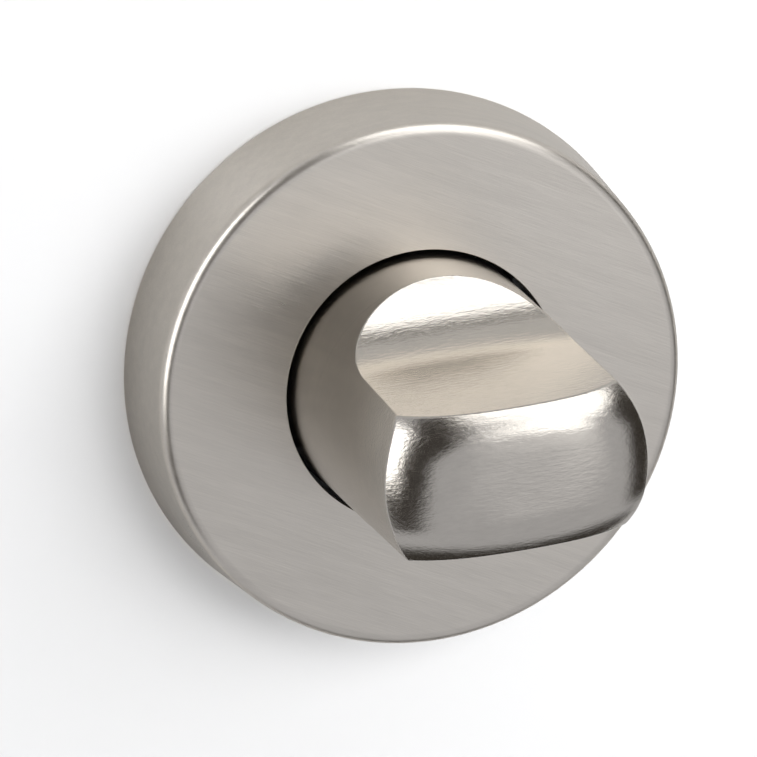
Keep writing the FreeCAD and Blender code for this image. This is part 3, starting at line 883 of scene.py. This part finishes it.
def set_cards():
    """The cards that the metal reflects: two in front, one at the left and one overhead."""
    glowing_card("front_card", upright_card(FRONT_CARD_Y), 0.48, [
        (UPWARDS, -0.13, -0.02, 0.0, 1.0), (UPWARDS, 0.16, 0.24, 1.0, 0.0),
        (ACROSS, 0.0, 0.12, 0.0, 1.0), (ACROSS, 0.09, 0.27, 1.0, 0.0)])
    glowing_card("upper_card", upright_card(UPPER_CARD_Y), 1.6, [
        (UPWARDS, 0.06, 0.12, 0.0, 1.0), (UPWARDS, 0.16, 0.24, 1.0, 0.0),
        (ACROSS, 0.03, 0.10, 0.0, 1.0), (ACROSS, 0.13, 0.25, 1.0, 0.0)])
    inner, outer = (-0.287, -0.085), (-0.213, -0.215)
    left = [(*inner, -0.1), (*outer, -0.1), (*outer, 0.43), (*inner, 0.43)]
    glowing_card("left_card", left, 3.0, [
        (UPWARDS, -0.085, 0.0, 0.0, 1.0), (UPWARDS, 0.30, 0.42, 1.0, 0.0),
        (INWARDS, -0.215, -0.165, 0.0, 1.0)])
    top = [(x, y, TOP_CARD_Z) for x, y in ((-0.25, -0.57), (0.52, -0.57), (0.52, 0.0), (-0.25, 0.0))]
    glowing_card("top_card", top, 1.65, [
        (SLANTED, -0.16, -0.09, 0.0, 1.0), (INWARDS, -0.50, -0.33, 0.0, 1.0),
        (INWARDS, -0.045, 0.0, 1.0, 0.0), (ACROSS, -0.03, 0.02, 0.0, 1.0), (ACROSS, 0.38, 0.5, 1.0, 0.0)])


def lamp(name, place, aim, width, height, power, in_reflections=True):
    """A soft white area lamp aimed at a point."""
    data = bpy.data.lights.new(name, "AREA")
    data.shape = "RECTANGLE"
    data.size = width
    data.size_y = height
    data.energy = power
    made = bpy.data.objects.new(name, data)
    made.location = place
    made.rotation_euler = (Vector(aim) - Vector(place)).to_track_quat("-Z", "Y").to_euler()
    made.visible_glossy = in_reflections
    made.visible_camera = False
    bpy.context.scene.collection.objects.link(made)


def studio_world():
    """White for the camera; for reflections and fill, a grey studio with dark places."""
    world = bpy.data.worlds.new("studio")
    bpy.context.scene.world = world
    world.use_nodes = True
    tree = world.node_tree
    tree.nodes.clear()
    way = node(tree, "ShaderNodeTexCoord").outputs["Generated"]

    def towards(left_deg, up_deg, near_deg, far_deg):
        left, rise = math.radians(left_deg), math.radians(up_deg)
        near, far = (math.cos(math.radians(spread)) for spread in (near_deg, far_deg))
        aim = (-math.sin(left) * math.cos(rise), -math.cos(left) * math.cos(rise), math.sin(rise))
        along = node(tree, "ShaderNodeVectorMath", {0: way, 1: aim}, operation="DOT_PRODUCT")
        return remap(tree, along.outputs["Value"], far, near, smooth=True)

    tone = mix_colour(tree, towards(*OVERHEAD_LOBE), STUDIO_GREY, OVERHEAD_TONE)
    for lobe in DARK_LOBES:
        tone = mix_colour(tree, towards(*lobe), tone, DARK_TONE)
    path = node(tree, "ShaderNodeLightPath").outputs
    seen = maths(tree, "MAXIMUM", path["Is Camera Ray"], path["Is Transmission Ray"])
    tone = mix_colour(tree, seen, tone, grey(1.0))
    sky = node(tree, "ShaderNodeBackground", {"Color": tone, "Strength": 1.0}).outputs[0]
    out = node(tree, "ShaderNodeOutputWorld")
    tree.links.new(sky, out.inputs["Surface"])


class THUMBTURN_OT_stage(bpy.types.Operator):
    """Set the wall, the floor, the cards, the lamps and the camera"""

    bl_idname = "thumbturn.stage"
    bl_label = "Stage"

    def execute(self, context):
        size = settings().stage
        face_middle = Vector((0.0, -settings().rose.height, 0.0))
        gap, low, side = size.wall_gap, -size.floor_drop, size.wall_reach
        wall = plane("wall", [(-side, gap, low), (side, gap, low), (side, gap, side), (-side, gap, side)],
                     pale_surface("wall_paint", albedo=0.61, reflected=0.36, glow=0.08, one_sided=True))
        wall.visible_shadow = False
        reach = FLOOR_REACH
        floor = plane("floor", [(-reach, -reach, low), (reach, -reach, low), (reach, reach, low),
                                (-reach, reach, low)],
                      pale_surface("floor_paint", albedo=0.8, reflected=0.8, glow=0.35, one_sided=False))
        floor.visible_glossy = False
        set_cards()
        lamp("top_softbox", (0.19, -0.20, 0.33), face_middle, 0.40, 0.32, 0.4, in_reflections=False)
        lamp("key", (0.21, -0.50, 0.04), face_middle, 0.54, 0.54, 5.6, in_reflections=False)
        lamp("back_fill", (0.015, 0.90, 0.015), (0.0, 0.02, 0.0), 0.25, 0.25, 9.0)
        studio_world()
        self.aim_camera(context, size, face_middle)
        context.scene.view_settings.view_transform = "Standard"
        return {"FINISHED"}

    @staticmethod
    def aim_camera(context, size, middle):
        """Puts the camera where the picture was taken from."""
        a, e, roll = size.azimuth, size.elevation, size.roll
        back = Vector((math.sin(a) * math.cos(e), -math.cos(a) * math.cos(e), math.sin(e)))
        right = Vector((math.cos(a), math.sin(a), 0.0))
        up = back.cross(right)
        picture_right = right * math.cos(roll) - up * math.sin(roll)
        picture_up = right * math.sin(roll) + up * math.cos(roll)
        place = middle + back * size.distance
        aim = middle - picture_right * size.aim_left + picture_up * size.aim_up
        view = (place - aim).normalized()
        side = picture_up.cross(view).normalized()
        data = bpy.data.cameras.new("camera")
        data.sensor_width = SENSOR_MM
        data.lens = size.pixels_per_mm * size.distance / MM / IMAGE_PIXELS * SENSOR_MM
        data.clip_start = CLIP_NEAR
        data.clip_end = CLIP_FAR
        made = bpy.data.objects.new("camera", data)
        turned = Matrix((side, view.cross(side), view)).transposed()
        made.matrix_world = Matrix.Translation(place) @ turned.to_4x4()
        context.scene.collection.objects.link(made)
        context.scene.camera = made


class THUMBTURN_PT_panel(bpy.types.Panel):
    """The dresser's sizes and steps"""

    bl_idname = "THUMBTURN_PT_panel"
    bl_label = "Thumb turn"
    bl_space_type = "VIEW_3D"
    bl_region_type = "UI"
    bl_category = "Thumb turn"

    def draw(self, context):
        for operator in OPERATORS:
            self.layout.operator(operator.bl_idname)
        for name in GROUPS:
            box = self.layout.box()
            box.label(text=name.title())
            part = getattr(settings(), name)
            for key in part.__annotations__:
                box.prop(part, key)


OPERATORS = (THUMBTURN_OT_rose, THUMBTURN_OT_turn, THUMBTURN_OT_screws, THUMBTURN_OT_works,
             THUMBTURN_OT_stage)
CLASSES = (*GROUPS.values(), DresserSettings, *OPERATORS, THUMBTURN_PT_panel)


def register():
    """Registers the classes and hangs the settings on the scene."""
    for item in CLASSES:
        bpy.utils.register_class(item)
    bpy.types.Scene.thumb_turn_dresser = bpy.props.PointerProperty(
        type=DresserSettings, name="Thumb turn dresser", description="Sizes, colours and stage")


def unregister():
    """Takes the settings and the classes away again."""
    del bpy.types.Scene.thumb_turn_dresser
    for item in reversed(CLASSES):
        bpy.utils.unregister_class(item)


def main():
    """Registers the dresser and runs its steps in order."""
    register()
    bpy.ops.thumbturn.rose()
    bpy.ops.thumbturn.turn()
    bpy.ops.thumbturn.screws()
    bpy.ops.thumbturn.works()
    bpy.ops.thumbturn.stage()


if __name__ == "__main__":
    main()
